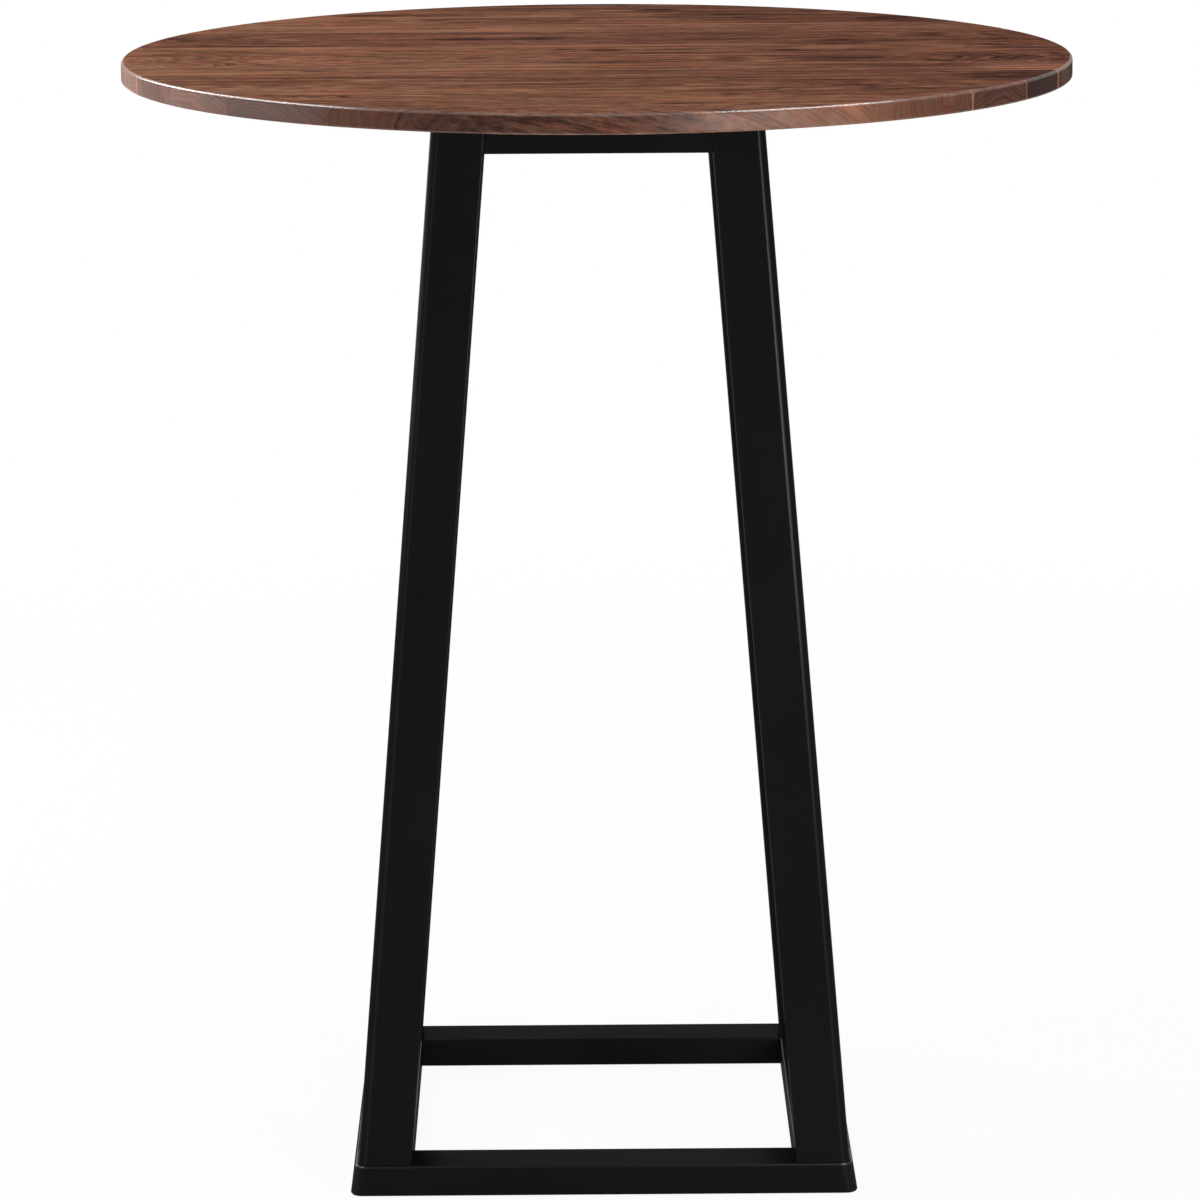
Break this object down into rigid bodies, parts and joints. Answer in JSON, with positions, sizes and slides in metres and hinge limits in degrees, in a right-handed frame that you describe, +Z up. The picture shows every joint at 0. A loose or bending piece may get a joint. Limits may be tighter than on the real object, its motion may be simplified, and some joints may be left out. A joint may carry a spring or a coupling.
{
  "type": "bar table",
  "caption": "Tall round bar table: a glued-up walnut top on a satin black timber frame whose legs lean inward from a square floor frame.",
  "frame": {"origin": "on the floor, under the middle of the round top", "axes": "+Z up, +X to the right of the front as pictured, +Y to the back; the staves run along X"},
  "size_m": [0.91, 0.91, 1.067],
  "materials": {
    "walnut_top": "satin lacquered walnut, staves left to right",
    "black_frame": "satin black paint on timber",
    "zinc_steel": "zinc plated",
    "insert_brass": "plain",
    "nylon_glide": "matte"
  },
  "bodies": {
    "root": {"top_stave_01": "walnut_top", "top_stave_02": "walnut_top", "top_stave_03": "walnut_top", "top_stave_04": "walnut_top", "top_stave_05": "walnut_top", "top_stave_06": "walnut_top", "top_stave_07": "walnut_top", "top_stave_08": "walnut_top", "top_stave_09": "walnut_top", "top_stave_10": "walnut_top", "top_stave_11": "walnut_top", "top_stave_12": "walnut_top", "floor_rail_front": "black_frame", "floor_rail_back": "black_frame", "floor_rail_left": "black_frame", "floor_rail_right": "black_frame", "leg_front_left": "black_frame", "leg_front_right": "black_frame", "leg_back_left": "black_frame", "leg_back_right": "black_frame", "top_rail_front": "black_frame", "top_rail_back": "black_frame", "top_rail_left": "black_frame", "top_rail_right": "black_frame", "corner_block_front_left": "black_frame", "corner_block_front_right": "black_frame", "corner_block_back_left": "black_frame", "corner_block_back_right": "black_frame", "top_bolts": "zinc_steel", "top_bolt_washers": "zinc_steel", "leg_foot_screws": "zinc_steel", "threaded_inserts": "insert_brass", "floor_glides": "nylon_glide"}
  },
  "joints": []
}
